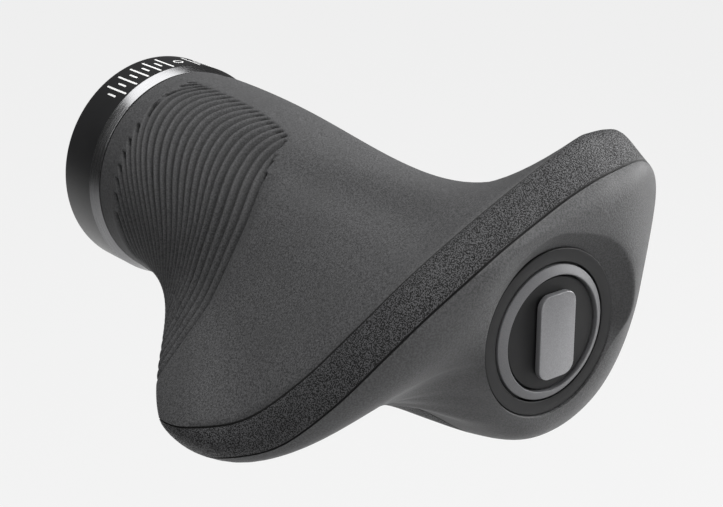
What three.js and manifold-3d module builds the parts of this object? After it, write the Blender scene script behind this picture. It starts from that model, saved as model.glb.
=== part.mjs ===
// A lock-on handlebar grip: a moulded rubber body with a palm wing, on a hard sleeve
// that one clamp ring holds to the bar. A plug with a trim ring closes the bar end.
// Millimetres and degrees. X runs along the bar towards its end, Y forward, Z up, and
// the origin is on the bar's axis at the inboard face of the clamp ring.
// An angle about X is measured from the top (+Z) towards the rear (-Y).
import * as THREE from "three";
import { mergeVertices } from "three/addons/utils/BufferGeometryUtils.js";
import Module from "manifold-3d";

const wasm = await Module();
wasm.setup();

// The bar and the play that the grip keeps on it.
const BAR_DIAMETER = 22.2;
const BORE_PLAY = 0.1;
const BORE_RADIUS = BAR_DIAMETER / 2 + BORE_PLAY;

// Gap between two pieces that seat on each other.
const SEAT_GAP = 0.3;

// Clamp ring: wall, length, chamfers, slit and the counterbore for the sleeve's teeth.
const CLAMP_WALL = 5.8;
const CLAMP_LENGTH = 9.1;
const CLAMP_INNER_CHAMFER = 0.5;
const CLAMP_OUTER_CHAMFER_LENGTH = 1.6;
const CLAMP_OUTER_CHAMFER_DEPTH = 0.8;
const CLAMP_RADIUS = BORE_RADIUS + CLAMP_WALL;
const SLIT_ANGLE = -110;
const SLIT_WIDTH = 1.6;
const TOOTH_SEAT_DEPTH = 2.5;

// Clamp screw, across the slit and in the middle of the ring's wall.
const SCREW_DIAMETER = 3;
const SCREW_HEAD_DIAMETER = 4.6;
const SCREW_HEAD_LENGTH = 3;
const SCREW_LENGTH = 10;
const SCREW_HOLE_PLAY = 0.2;
const SCREW_AXIS_RADIUS = BORE_RADIUS + CLAMP_WALL / 2;
const SCREW_AXIS_X = 3.5;
const HEX_ACROSS_FLATS = 2.5;
const HEX_DEPTH = 1.6;

// Hard sleeve: wall, teeth that lock into the clamp ring, and the collar behind them.
const SLEEVE_WALL = 1.1;
const SLEEVE_RADIUS = BORE_RADIUS + SLEEVE_WALL;
const TOOTH_COUNT = 4;
const TOOTH_WIDTH = 7;
const TOOTH_HEIGHT = 1.1;
const TOOTH_SEAT_RADIUS = SLEEVE_RADIUS + TOOTH_HEIGHT;
const COLLAR_HEIGHT = 0.8;
const COLLAR_RADIUS = TOOTH_SEAT_RADIUS + COLLAR_HEIGHT;
const COLLAR_LENGTH = 1.2;

// Rubber body: its step down from the clamp ring, and the lip round the plug.
const RUBBER_STEP = 0.7;
const RUBBER_RADIUS = CLAMP_RADIUS - RUBBER_STEP;
const RUBBER_EDGE_ROUND = 0.5;
const RUBBER_SWELL = 0.2;
const PLAIN_LENGTH = 3.7;
const LIP_X = 90.9;
const LIP_LENGTH = 4.4;
const LIP_WALL = 1.2;
const DISH_RISE = 0.5;

// Ribs moulded into the rear of the rubber. The grooves between them are numbered from
// the clamp: at their waist near the top they lie square to the bar, a pitch apart, and
// further down they sweep outboard like a fan. The first ones start at the clamp's end,
// beside the plain ring, and only part way down. The reach of the sweep, the angles where
// it starts and ends and the bend of the hook above the waist all change along the bar,
// each by its amount per millimetre past the waist of the first full groove.
const FIRST_GROOVE = -4;
const LAST_GROOVE = 20;
const WAIST_GROOVE = 4;
const WAIST_X = 15.5;
const GROOVE_PITCH = 1.95;
const EARLY_PITCH = 1.4;
const GROOVE_DEPTH = 0.45;
const GROOVE_FLOOR_SHARE = 0.36;
const GROOVE_RUN_OUT_ANGLE = 2.5;
const FOOT_ANGLE = 126;
const FAN_START = 14.1;
const FAN_REACH = 10.6;
const FAN_REACH_PER_MM = -0.38;
const FAN_LEAST_REACH = 2.4;
const FAN_TOP_ANGLE = 25;
const FAN_TOP_ANGLE_PER_MM = 0.33;
const FAN_FOOT_ANGLE = 110;
const FAN_FOOT_ANGLE_PER_MM = -1.2;
const FAN_FOOT_LEAST_ANGLE = 74;
const HOOK_ANGLE = 25.5;
const HOOK_ANGLE_PER_MM = 0.55;
const HOOK_LEAST_ANGLE = 28;
const HOOK_MOST_ANGLE = 42;
const HOOK_BEND = 0.0078;
const HOOK_BEND_PER_MM = -0.00018;
const TOP_ANGLE = 6.3;
const TOP_DROP_ANGLE = 22;
const TOP_DROP_LENGTH = 30;
const TOP_DROP_POWER = 3.2;
const FOLD_ANGLE = 150;
const FOLD_PACE = 1.3;

// Fine lines on both edges of the textured band that runs round the rubber's rim.
const LINE_WIDTH = 0.5;
const LINE_DEPTH = 0.25;

// Plug in the outboard end, with a trim ring, a disc and a plain raised plate.
const PLUG_RECESS = 0.15;
const PLUG_SKIRT_LENGTH = 3;
const PLUG_WALL = 1.2;
const PLUG_FACE_THICKNESS = 3.4;
const PLUG_SLOPE_DEPTH = 0.5;
const PLUG_RADIUS = BAR_DIAMETER / 2;
const PLUG_FACE_X = LIP_X - PLUG_RECESS;
const PLUG_RIM_WIDTH = 2.14;
const TRIM_WIDTH = 1.2;
const TRIM_RISE = 0.65;
const TRIM_SEAT_DEPTH = 1.2;
const TRIM_OUTER_RADIUS = PLUG_RADIUS - PLUG_RIM_WIDTH;
const TRIM_INNER_RADIUS = TRIM_OUTER_RADIUS - TRIM_WIDTH;
const DISC_THICKNESS = 1.1;
const PLATE_HEIGHT = 9.6;
const PLATE_WIDTH = 6.2;
const PLATE_THICKNESS = 0.9;
const PLATE_CORNER = 1.6;

// How finely round things are cut, and the points along one column of the rubber.
const ROUND_STEPS = 64;
const COLUMNS_PER_STATION = 4;
const COLUMNS_AT_GROOVE_STARTS = 6;
const GROOVE_START_STATIONS = 2;
const PLAIN_SKIN_STEPS = 9;
const BAND_STEPS = 4;
const END_STEPS = 8;

// Stations round the rubber, from the top over the rear, the bottom and the front.
// angle: where the station leaves the clamp. rim: where it meets the lip round the plug.
// lead: how far it keeps straight on from the clamp. inner, outer: the textured band's
// inboard and outboard edge, with x counted from the lip. pull: the skin's direction as
// it reaches the band. face: its direction as it leaves the band. lip: how far along and
// out from the dished edge round the plug it comes in. band: how deep the edge lines are.
const STATIONS = [
  {
    angle: 0, rim: 0, lead: 41, lip: [1, 2.5], band: 1,
    inner: [-4.4, 0.2, 20.1], pull: [15.5, 2, 9.5],
    outer: [-0.5, -2, 15.5], face: [1.3, 0.3, -1],
  },
  {
    angle: 22, rim: 25, lead: 39, lip: [1, 2.3], band: 1,
    inner: [-4.5, -6, 17.4], pull: [15.5, -1.5, 4],
    outer: [0, -8.5, 13.3], face: [1, 0.5, -1],
  },
  {
    angle: 42, rim: 45, lead: 38, lip: [1, 2.5], band: 1,
    inner: [-5.5, -12.5, 13.6], pull: [14, -6, 2],
    outer: [-0.2, -13.2, 10.9], face: [1.3, 1, -0.8],
  },
  {
    angle: 58, rim: 65, lead: 36, lip: [0.4, 2.8], band: 1,
    inner: [-7, -18.5, 9.2], pull: [13, -8, -2],
    outer: [-1.8, -19.3, 6.4], face: [2, 2, -1],
  },
  {
    angle: 72, rim: 82, lead: 34, lip: [-1.5, 2.8], band: 1,
    inner: [-9.8, -23.6, 3.5], pull: [12, -8, -5],
    outer: [-4, -23.5, 1.9], face: [3, 3, -1.5],
  },
  {
    angle: 86, rim: 93, lead: 30, lip: [-5, 2.6], band: 1,
    inner: [-14.8, -28.6, -4], pull: [12.5, -7.5, -7],
    outer: [-8.6, -28.3, -5.3], face: [4, 4, -1],
  },
  {
    angle: 100, rim: 99, lead: 26, lip: [-9, 2], band: 1,
    inner: [-21.5, -32.5, -10.4], pull: [11.5, -6.5, -8.3],
    outer: [-15.4, -31.8, -12.1], face: [5.5, 3.5, -1],
  },
  {
    angle: 114, rim: 105, lead: 21, lip: [-11, 1], band: 1,
    inner: [-30, -36, -13.6], pull: [9.5, -6.5, -7.5],
    outer: [-23.7, -34.4, -16], face: [7.5, 4, -2.5],
  },
  {
    angle: 128, rim: 114, lead: 17, lip: [-11, 0.5], band: 0.7,
    inner: [-37.1, -35, -15.3], pull: [11.5, -5, -3.5],
    outer: [-31, -32.8, -18.5], face: [10, 5, 0.5],
  },
  {
    angle: 140, rim: 124, lead: 16, lip: [-10, 1], band: 0,
    inner: [-36.4, -30, -18], pull: [14, -6.5, -2.5],
    outer: [-30.2, -27.3, -17.8], face: [9, 5, 5],
  },
  {
    angle: 151, rim: 134, lead: 17.5, lip: [-6.5, 2.3], band: 0,
    inner: [-31, -20.8, -16.6], pull: [16, -4.5, 0.5],
    outer: [-24.2, -20, -15], face: [6, 6, 5],
  },
  {
    angle: 162, rim: 148, lead: 22.5, lip: [-3, 3], band: 1,
    inner: [-22.5, -11.6, -14.4], pull: [16, -2, 1.2],
    outer: [-15.4, -11.3, -12.4], face: [5, 1.5, 1],
  },
  {
    angle: 174, rim: 168, lead: 25, lip: [-0.3, 2.8], band: 1,
    inner: [-15.3, -5.6, -16.2], pull: [17, 0, 1.5],
    outer: [-8.3, -5, -15.8], face: [3.7, 0.3, 0.6],
  },
  {
    angle: 195, rim: 195, lead: 24, lip: [-0.6, 2.7], band: 1,
    inner: [-12.6, 3.6, -18], pull: [17, 0, 0.5],
    outer: [-6.7, 5, -17.6], face: [2.5, -0.7, 0.4],
  },
  {
    angle: 222, rim: 222, lead: 23.5, lip: [-1, 2.8], band: 1,
    inner: [-11.5, 12.3, -14.3], pull: [13.5, 1.3, -1],
    outer: [-6.6, 15.3, -15.3], face: [1.3, -1.8, 0.3],
  },
  {
    angle: 248, rim: 248, lead: 25, lip: [-1.2, 3.5], band: 1,
    inner: [-11, 17.5, -7], pull: [13, 4, -1],
    outer: [-6.7, 21.2, -7.9], face: [1.2, -2.2, -0.2],
  },
  {
    angle: 272, rim: 272, lead: 28.5, lip: [-0.9, 4.6], band: 1,
    inner: [-10.8, 20.2, 1.4], pull: [12.5, 7, 2],
    outer: [-7.4, 24.6, 1.5], face: [1.3, -2, -0.1],
  },
  {
    angle: 296, rim: 296, lead: 32, lip: [0, 5.3], band: 1,
    inner: [-10.2, 22, 11.6], pull: [13.7, 11.5, 8],
    outer: [-7, 25.8, 11.8], face: [2, -1.5, -0.4],
  },
  {
    angle: 318, rim: 318, lead: 37, lip: [0.8, 4.7], band: 1,
    inner: [-7.5, 18.3, 20.6], pull: [16, 15.5, 16],
    outer: [-3.4, 19.2, 17.9], face: [2.6, -0.8, -1],
  },
  {
    angle: 334, rim: 334, lead: 44.5, lip: [1, 3.5], band: 1,
    inner: [-6.3, 11, 22.4], pull: [17.3, 13, 17.5],
    outer: [-1.6, 11, 18.5], face: [2.3, -0.1, -1.6],
  },
  {
    angle: 348, rim: 348, lead: 46, lip: [1, 2.9], band: 1,
    inner: [-4.9, 5.4, 21.7], pull: [16.5, 7, 14],
    outer: [-0.9, 4.2, 17.4], face: [1.7, 0.2, -1.2],
  },
];

const radians = (degrees) => (degrees * Math.PI) / 180;

// A point on a circle about the bar, at an angle from the top towards the rear.
function aroundBar(x, radius, angle) {
  const a = radians(angle);
  return new THREE.Vector3(x, -radius * Math.sin(a), radius * Math.cos(a));
}

// A closed three.js geometry as a manifold solid, whichever way its faces were wound.
function solidOf(geometry) {
  const bare = geometry.index ? geometry.toNonIndexed() : geometry.clone();
  bare.deleteAttribute("normal");
  bare.deleteAttribute("uv");
  const merged = mergeVertices(bare, 1e-4);
  const triVerts = new Uint32Array(merged.index.array);
  const vertProperties = new Float32Array(merged.attributes.position.array);
  const solid = new wasm.Manifold(new wasm.Mesh({ numProp: 3, vertProperties, triVerts }));
  if (solid.volume() > 0) return solid;
  for (let i = 0; i < triVerts.length; i += 3) {
    [triVerts[i + 1], triVerts[i + 2]] = [triVerts[i + 2], triVerts[i + 1]];
  }
  return new wasm.Manifold(new wasm.Mesh({ numProp: 3, vertProperties, triVerts }));
}

function geometryOf(solid) {
  const mesh = solid.getMesh();
  const positions = new Float32Array(mesh.numVert * 3);
  for (let i = 0; i < mesh.numVert; i++) {
    positions.set(mesh.vertProperties.subarray(i * mesh.numProp, i * mesh.numProp + 3), i * 3);
  }
  const geometry = new THREE.BufferGeometry();
  geometry.setAttribute("position", new THREE.BufferAttribute(positions, 3));
  geometry.setIndex(new THREE.BufferAttribute(mesh.triVerts, 1));
  geometry.computeVertexNormals();
  return geometry;
}

// A solid turned about the bar's axis from a closed profile of [x, radius] corners.
function turned(profile, steps = ROUND_STEPS) {
  const points = profile.map(([x, radius]) => new THREE.Vector2(radius, x));
  points.push(points[0].clone());
  const geometry = new THREE.LatheGeometry(points, steps);
  geometry.rotateZ(-Math.PI / 2);
  return solidOf(geometry);
}

// A round bar of material whose axis runs along Y, centred on the origin.
function barAlongY(radius, length, steps) {
  return solidOf(new THREE.CylinderGeometry(radius, radius, length, steps));
}

// The screw's own frame: its axis crosses the slit at a right angle, half way along.
function placedAtSlit(solid) {
  return solid.translate([SCREW_AXIS_X, 0, SCREW_AXIS_RADIUS]).rotate([SLIT_ANGLE, 0, 0]);
}

function makeClampRing() {
  const outer = CLAMP_RADIUS;
  const body = turned([
    [0, BORE_RADIUS + CLAMP_INNER_CHAMFER],
    [0, outer - CLAMP_INNER_CHAMFER],
    [CLAMP_INNER_CHAMFER, outer],
    [CLAMP_LENGTH - CLAMP_OUTER_CHAMFER_LENGTH, outer],
    [CLAMP_LENGTH, outer - CLAMP_OUTER_CHAMFER_DEPTH],
    [CLAMP_LENGTH, TOOTH_SEAT_RADIUS],
    [CLAMP_LENGTH - TOOTH_SEAT_DEPTH, TOOTH_SEAT_RADIUS],
    [CLAMP_LENGTH - TOOTH_SEAT_DEPTH, BORE_RADIUS],
    [CLAMP_INNER_CHAMFER, BORE_RADIUS],
  ]);
  const slitBox = new THREE.BoxGeometry(2 * CLAMP_LENGTH, SLIT_WIDTH, CLAMP_RADIUS);
  const slit = solidOf(slitBox)
    .translate([CLAMP_LENGTH / 2, 0, BORE_RADIUS + CLAMP_RADIUS / 2 - 1])
    .rotate([SLIT_ANGLE, 0, 0]);
  const holeLength = SCREW_LENGTH + SCREW_HOLE_PLAY;
  const hole = barAlongY(SCREW_DIAMETER / 2 + SCREW_HOLE_PLAY, holeLength, 24);
  const pocketLength = CLAMP_RADIUS;
  const pocketSeat = SCREW_LENGTH / 2 - SCREW_HOLE_PLAY;
  const pocket = barAlongY(SCREW_HEAD_DIAMETER / 2 + SCREW_HOLE_PLAY, pocketLength, 32)
    .translate([0, pocketSeat + pocketLength / 2, 0]);
  return body.subtract(slit).subtract(placedAtSlit(hole)).subtract(placedAtSlit(pocket));
}

function makeClampScrew() {
  const shank = barAlongY(SCREW_DIAMETER / 2, SCREW_LENGTH, 24);
  const head = barAlongY(SCREW_HEAD_DIAMETER / 2, SCREW_HEAD_LENGTH, 32)
    .translate([0, SCREW_LENGTH / 2 + SCREW_HEAD_LENGTH / 2 - 0.01, 0]);
  const hexRadius = HEX_ACROSS_FLATS / Math.sqrt(3);
  const socket = barAlongY(hexRadius, 2 * HEX_DEPTH, 6)
    .translate([0, SCREW_LENGTH / 2 + SCREW_HEAD_LENGTH, 0]);
  return placedAtSlit(shank.add(head).subtract(socket));
}

const SLEEVE_START = CLAMP_LENGTH + SEAT_GAP;
const SLEEVE_END = LIP_X - LIP_LENGTH - SEAT_GAP;

function makeCoreSleeve() {
  const collarEnd = SLEEVE_START + COLLAR_LENGTH;
  const tube = turned([
    [SLEEVE_START, BORE_RADIUS],
    [SLEEVE_START, COLLAR_RADIUS],
    [collarEnd, COLLAR_RADIUS],
    [collarEnd, SLEEVE_RADIUS],
    [SLEEVE_END, SLEEVE_RADIUS],
    [SLEEVE_END, BORE_RADIUS],
  ]);
  const toothStart = CLAMP_LENGTH - TOOTH_SEAT_DEPTH + SEAT_GAP;
  const toothRing = turned([
    [toothStart, BORE_RADIUS],
    [toothStart, TOOTH_SEAT_RADIUS - SEAT_GAP],
    [SLEEVE_START + COLLAR_LENGTH / 2, TOOTH_SEAT_RADIUS - SEAT_GAP],
    [SLEEVE_START + COLLAR_LENGTH / 2, BORE_RADIUS],
  ]);
  let sleeve = tube;
  for (let i = 0; i < TOOTH_COUNT; i++) {
    const angle = SLIT_ANGLE + ((i + 0.5) * 360) / TOOTH_COUNT;
    const keep = solidOf(new THREE.BoxGeometry(CLAMP_LENGTH, TOOTH_WIDTH, CLAMP_RADIUS))
      .translate([toothStart + CLAMP_LENGTH / 2, 0, CLAMP_RADIUS / 2])
      .rotate([angle, 0, 0]);
    sleeve = sleeve.add(toothRing.intersect(keep));
  }
  return sleeve;
}

// Rubber body. A column runs from the clamp to the plug at one place round the grip, and
// is a list of stretches, each a list of points. Neighbouring columns are then joined.
const RUBBER_START = CLAMP_LENGTH + SEAT_GAP;
const SKIN_START = RUBBER_START + PLAIN_LENGTH;
const LIP_RADIUS = PLUG_RADIUS + SEAT_GAP;
const DISH_RADIUS = LIP_RADIUS + LIP_WALL;

const vectorOf = (values) => new THREE.Vector3(...values);
const fromLip = ([x, y, z]) => new THREE.Vector3(LIP_X + x, y, z);
const loopThrough = (points) => new THREE.CatmullRomCurve3(points, true, "catmullrom", 0.5);

const innerLoop = loopThrough(STATIONS.map((s) => fromLip(s.inner)));
const outerLoop = loopThrough(STATIONS.map((s) => fromLip(s.outer)));
const pullLoop = loopThrough(STATIONS.map((s) => vectorOf(s.pull)));
const faceLoop = loopThrough(STATIONS.map((s) => vectorOf(s.face)));
const leadLoop = loopThrough(STATIONS.map((s) => new THREE.Vector3(s.lead, 0, 0)));
const bandLoop = loopThrough(STATIONS.map((s) => new THREE.Vector3(s.band, 0, 0)));
const lipLoop = loopThrough(STATIONS.map((s) => new THREE.Vector3(s.lip[0], s.lip[1], 0)));
const clampLoop = loopThrough(STATIONS.map((s) => aroundBar(0, 1, s.angle)));
const rimLoop = loopThrough(STATIONS.map((s) => aroundBar(0, 1, s.rim)));

// The point of a loop of unit directions, at a given place along the bar and radius.
function onCircle(loop, t, x, radius) {
  const direction = loop.getPoint(t).normalize();
  return new THREE.Vector3(x, direction.y * radius, direction.z * radius);
}

// The skin's curve from the clamp to the textured band, at one place round the grip.
function skinAt(t) {
  const start = onCircle(clampLoop, t, SKIN_START, RUBBER_RADIUS + RUBBER_SWELL);
  const inner = innerLoop.getPoint(t);
  return new THREE.CubicBezierCurve3(
    start,
    start.clone().setX(SKIN_START + leadLoop.getPoint(t).x),
    inner.clone().sub(pullLoop.getPoint(t)),
    inner,
  );
}

function spread(curve, steps, from = 0, to = 1) {
  const share = (i) => from + ((to - from) * i) / steps;
  return Array.from({ length: steps + 1 }, (_, i) => curve.getPoint(share(i)));
}

// A point's angle about the bar from the top towards the rear, between -90 and 270.
function angleOf(point) {
  const angle = THREE.MathUtils.radToDeg(Math.atan2(-point.y, point.z));
  return angle < -90 ? angle + 360 : angle;
}

// Where a groove, or a place between two, crosses an angle: its waist, and from there
// the sweep down the rear and the hook towards the top. Round the front, where there are
// no grooves, the angle folds back, so that the rubber's other rows run on smoothly.
function grooveX(number, angle) {
  const pitch = number > WAIST_GROOVE ? GROOVE_PITCH : EARLY_PITCH;
  const waist = WAIST_X + pitch * (number - WAIST_GROOVE);
  const beyond = Math.max(0, waist - WAIST_X);
  const reach = Math.max(FAN_LEAST_REACH, FAN_REACH + FAN_REACH_PER_MM * beyond);
  const top = FAN_TOP_ANGLE + FAN_TOP_ANGLE_PER_MM * beyond;
  const foot = Math.max(FAN_FOOT_LEAST_ANGLE, FAN_FOOT_ANGLE + FAN_FOOT_ANGLE_PER_MM * beyond);
  const folded = angle > FOLD_ANGLE ? FOLD_ANGLE - FOLD_PACE * (angle - FOLD_ANGLE) : angle;
  const bounded = Math.max(folded, TOP_ANGLE - 1);
  const swept = THREE.MathUtils.clamp((bounded - top) / (foot - top), 0, 1);
  const hookAngle = THREE.MathUtils.clamp(
    HOOK_ANGLE + HOOK_ANGLE_PER_MM * beyond,
    HOOK_LEAST_ANGLE,
    HOOK_MOST_ANGLE,
  );
  const bend = HOOK_BEND + HOOK_BEND_PER_MM * beyond;
  const hook = bend * Math.max(0, hookAngle - bounded) ** 2;
  return waist + (reach * (1 - Math.cos(Math.PI * swept))) / 2 + hook;
}

// The share of a curve at which x reaches an aim, which is a function of the place.
function shareAt(curve, aim) {
  let low = 0;
  let high = 1;
  for (let i = 0; i < 24; i++) {
    const middle = (low + high) / 2;
    const point = curve.getPoint(middle);
    if (point.x < aim(point)) low = middle;
    else high = middle;
  }
  return (low + high) / 2;
}

// How much of its depth a groove has at a point: none above its start, which lies lower
// down the rear towards the outboard end, and none past its foot under the wing.
function grooveShare(point) {
  const along = Math.max(0, point.x - WAIST_X) / TOP_DROP_LENGTH;
  const top = TOP_ANGLE + TOP_DROP_ANGLE * along ** TOP_DROP_POWER;
  const angle = angleOf(point);
  const inside = Math.min(angle - top, FOOT_ANGLE - angle);
  return THREE.MathUtils.clamp(inside / GROOVE_RUN_OUT_ANGLE, 0, 1);
}

const fanShare = (skin, number) => shareAt(skin, (p) => Math.max(FAN_START, grooveX(number, angleOf(p))));
const fanEnd = (skin) => fanShare(skin, LAST_GROOVE + 0.5);

// The grooved part of a column, one list of points for each groove, or a single list
// where no groove reaches. A groove that hasn't started yet is a plain step.
function groovedStretches(t) {
  const skin = skinAt(t);
  const before = skinAt(t - 0.001);
  const after = skinAt(t + 0.001);
  const startShare = shareAt(skin, () => FAN_START);
  const pointAt = (share, depth) => {
    const around = after.getPoint(share).sub(before.getPoint(share));
    const outward = around.cross(skin.getTangent(share)).normalize();
    const point = skin.getPoint(share);
    return point.addScaledVector(outward, -depth * grooveShare(point));
  };
  const floor = GROOVE_FLOOR_SHARE / 2;
  const grooves = [];
  let last = skin.getPoint(startShare);
  let deepest = 0;
  for (let number = FIRST_GROOVE; number <= LAST_GROOVE; number++) {
    const nearShare = fanShare(skin, number - floor);
    const endShare = fanShare(skin, number + 0.5);
    const points = [last];
    if (skin.getPoint(nearShare).x > FAN_START + 0.1) {
      points.push(pointAt(nearShare, GROOVE_DEPTH));
      points.push(pointAt(fanShare(skin, number + floor), GROOVE_DEPTH));
      deepest = Math.max(deepest, grooveShare(skin.getPoint(nearShare)));
    }
    if (skin.getPoint(endShare).x > FAN_START + 0.05) {
      last = skin.getPoint(endShare);
      points.push(last);
    }
    grooves.push(points);
  }
  return deepest > 0 ? grooves : [spread(skin, 5, startShare, fanEnd(skin))];
}

// The bottom of an edge line: the loop's point, sunk square to the rubber's surface.
function lineBottom(loop, t, across) {
  const outward = loop.getTangent(t).cross(across).normalize();
  const share = THREE.MathUtils.clamp(bandLoop.getPoint(t).x, 0, 1);
  return loop.getPoint(t).addScaledVector(outward, -LINE_DEPTH * share);
}

// The share of a Bezier curve that half an edge line takes, from its end handle.
const halfLine = (handle) => LINE_WIDTH / (6 * handle.length());

function columnAt(t) {
  const inner = innerLoop.getPoint(t);
  const outer = outerLoop.getPoint(t);
  const pull = pullLoop.getPoint(t);
  const face = faceLoop.getPoint(t);
  const lip = lipLoop.getPoint(t);
  const bandHandle = inner.distanceTo(outer) * 0.3;
  const intoBand = pull.clone().setLength(bandHandle);
  const outOfBand = face.clone().setLength(bandHandle);
  const dish = onCircle(rimLoop, t, LIP_X + DISH_RISE, DISH_RADIUS);
  const dishOut = onCircle(rimLoop, t, LIP_X + DISH_RISE + lip.x, DISH_RADIUS + lip.y);
  const skin = skinAt(t);
  const band = new THREE.CubicBezierCurve3(
    inner,
    inner.clone().add(intoBand),
    outer.clone().sub(outOfBand),
    outer,
  );
  const end = new THREE.CubicBezierCurve3(outer, outer.clone().add(face), dishOut, dish);
  const innerLine = lineBottom(innerLoop, t, pull);
  const outerLine = lineBottom(outerLoop, t, face);

  const seatRadius = SLEEVE_RADIUS + SEAT_GAP;
  const collarRadius = COLLAR_RADIUS + SEAT_GAP;
  const collarEnd = SLEEVE_START + COLLAR_LENGTH + SEAT_GAP;
  const lipBack = LIP_X - LIP_LENGTH;
  return [
    [onCircle(clampLoop, t, collarEnd, seatRadius), onCircle(clampLoop, t, collarEnd, collarRadius)],
    [onCircle(clampLoop, t, collarEnd, collarRadius), onCircle(clampLoop, t, RUBBER_START, collarRadius)],
    [
      onCircle(clampLoop, t, RUBBER_START, collarRadius),
      onCircle(clampLoop, t, RUBBER_START, RUBBER_RADIUS - RUBBER_EDGE_ROUND),
      onCircle(clampLoop, t, RUBBER_START + RUBBER_EDGE_ROUND, RUBBER_RADIUS),
      skin.getPoint(0),
      skin.getPoint(shareAt(skin, () => FAN_START)),
    ],
    groovedStretches(t),
    [...spread(skin, PLAIN_SKIN_STEPS, fanEnd(skin), 1 - halfLine(pull)), innerLine],
    [
      innerLine,
      ...spread(band, BAND_STEPS, halfLine(intoBand), 1 - halfLine(outOfBand)),
      outerLine,
    ],
    [outerLine, ...spread(end, END_STEPS, halfLine(face), 1)],
    [
      dish,
      onCircle(rimLoop, t, LIP_X, LIP_RADIUS),
      onCircle(rimLoop, t, lipBack, LIP_RADIUS),
      onCircle(rimLoop, t, lipBack, seatRadius),
    ],
    [onCircle(rimLoop, t, lipBack, seatRadius), onCircle(clampLoop, t, collarEnd, seatRadius)],
  ];
}

// Joins two rows of points with triangles, each row taken at its own pace.
function zip(a, b, triangles) {
  let i = 0;
  let j = 0;
  while (i < a.length - 1 || j < b.length - 1) {
    const nextA = (i + 1) / (a.length - 1);
    const nextB = (j + 1) / (b.length - 1);
    if (j === b.length - 1 || (i < a.length - 1 && nextA <= nextB)) {
      triangles.push(a[i], a[i + 1], b[j]);
      i += 1;
    } else {
      triangles.push(a[i], b[j + 1], b[j]);
      j += 1;
    }
  }
}

// Joins the grooved parts of two columns groove by groove, or as a whole where only one
// of them has grooves.
function zipGrooves(a, b, triangles) {
  if (a.length === b.length) {
    a.forEach((groove, i) => zip(groove, b[i], triangles));
    return;
  }
  const whole = (grooves) => grooves.flatMap((points, i) => (i ? points.slice(1) : points));
  zip(whole(a), whole(b), triangles);
}

function skinned(columns) {
  const triangles = [];
  columns.forEach((column, k) => {
    const next = columns[(k + 1) % columns.length];
    column.forEach((stretch, i) => {
      const join = Array.isArray(stretch[0]) ? zipGrooves : zip;
      join(stretch, next[i], triangles);
    });
  });
  const positions = new Float32Array(triangles.flatMap((p) => [p.x, p.y, p.z]));
  const geometry = new THREE.BufferGeometry();
  geometry.setAttribute("position", new THREE.BufferAttribute(positions, 3));
  return solidOf(geometry);
}

function makeGripRubber() {
  const columns = STATIONS.flatMap((station, i) => {
    const count = i < GROOVE_START_STATIONS ? COLUMNS_AT_GROOVE_STARTS : COLUMNS_PER_STATION;
    return Array.from({ length: count }, (_, k) => columnAt((i + k / count) / STATIONS.length));
  });
  return skinned(columns);
}

function makeEndPlug() {
  const seatFloor = PLUG_FACE_X - TRIM_SEAT_DEPTH;
  const seatRadius = TRIM_OUTER_RADIUS + SEAT_GAP;
  const backX = PLUG_FACE_X - PLUG_FACE_THICKNESS;
  const skirtRadius = BORE_RADIUS - SEAT_GAP;
  const skirtEnd = SLEEVE_END - PLUG_SKIRT_LENGTH;
  const shoulderX = LIP_X - LIP_LENGTH;
  return turned([
    [seatFloor, 0],
    [seatFloor, seatRadius],
    [PLUG_FACE_X - PLUG_SLOPE_DEPTH, seatRadius],
    [PLUG_FACE_X, PLUG_RADIUS],
    [shoulderX, PLUG_RADIUS],
    [shoulderX, skirtRadius],
    [skirtEnd, skirtRadius],
    [skirtEnd, skirtRadius - PLUG_WALL],
    [backX, skirtRadius - PLUG_WALL],
    [backX, 0],
  ]);
}

function makeTrimRing() {
  const floor = PLUG_FACE_X - TRIM_SEAT_DEPTH + SEAT_GAP;
  return turned([
    [floor, TRIM_INNER_RADIUS],
    [floor, TRIM_OUTER_RADIUS],
    [PLUG_FACE_X, TRIM_OUTER_RADIUS],
    [PLUG_FACE_X + TRIM_RISE, TRIM_INNER_RADIUS],
  ]);
}

const DISC_FACE_X = PLUG_FACE_X - TRIM_SEAT_DEPTH + SEAT_GAP + DISC_THICKNESS;

function makeBadgeDisc() {
  const floor = DISC_FACE_X - DISC_THICKNESS;
  const radius = TRIM_INNER_RADIUS - SEAT_GAP;
  return turned([
    [floor, 0],
    [floor, radius],
    [DISC_FACE_X, radius],
    [DISC_FACE_X, 0],
  ]);
}

// A flat plate with rounded corners: its outline is drawn from corner to corner.
function makeBadgePlate() {
  const outline = new THREE.Shape();
  const side = PLATE_WIDTH / 2 - PLATE_CORNER;
  const top = PLATE_HEIGHT / 2 - PLATE_CORNER;
  outline.absarc(side, top, PLATE_CORNER, 0, Math.PI / 2, false);
  outline.absarc(-side, top, PLATE_CORNER, Math.PI / 2, Math.PI, false);
  outline.absarc(-side, -top, PLATE_CORNER, Math.PI, 1.5 * Math.PI, false);
  outline.absarc(side, -top, PLATE_CORNER, 1.5 * Math.PI, 2 * Math.PI, false);
  const slab = new THREE.ExtrudeGeometry(outline, {
    depth: PLATE_THICKNESS,
    bevelEnabled: false,
    curveSegments: 8,
  });
  slab.rotateX(Math.PI / 2);
  slab.rotateZ(Math.PI / 2);
  slab.translate(DISC_FACE_X + SEAT_GAP, 0, 0);
  return solidOf(slab);
}

function meshOf(name, solid, color, roughness, metalness) {
  const material = new THREE.MeshStandardMaterial({ color, roughness, metalness });
  const mesh = new THREE.Mesh(geometryOf(solid), material);
  mesh.name = name;
  return mesh;
}

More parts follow.
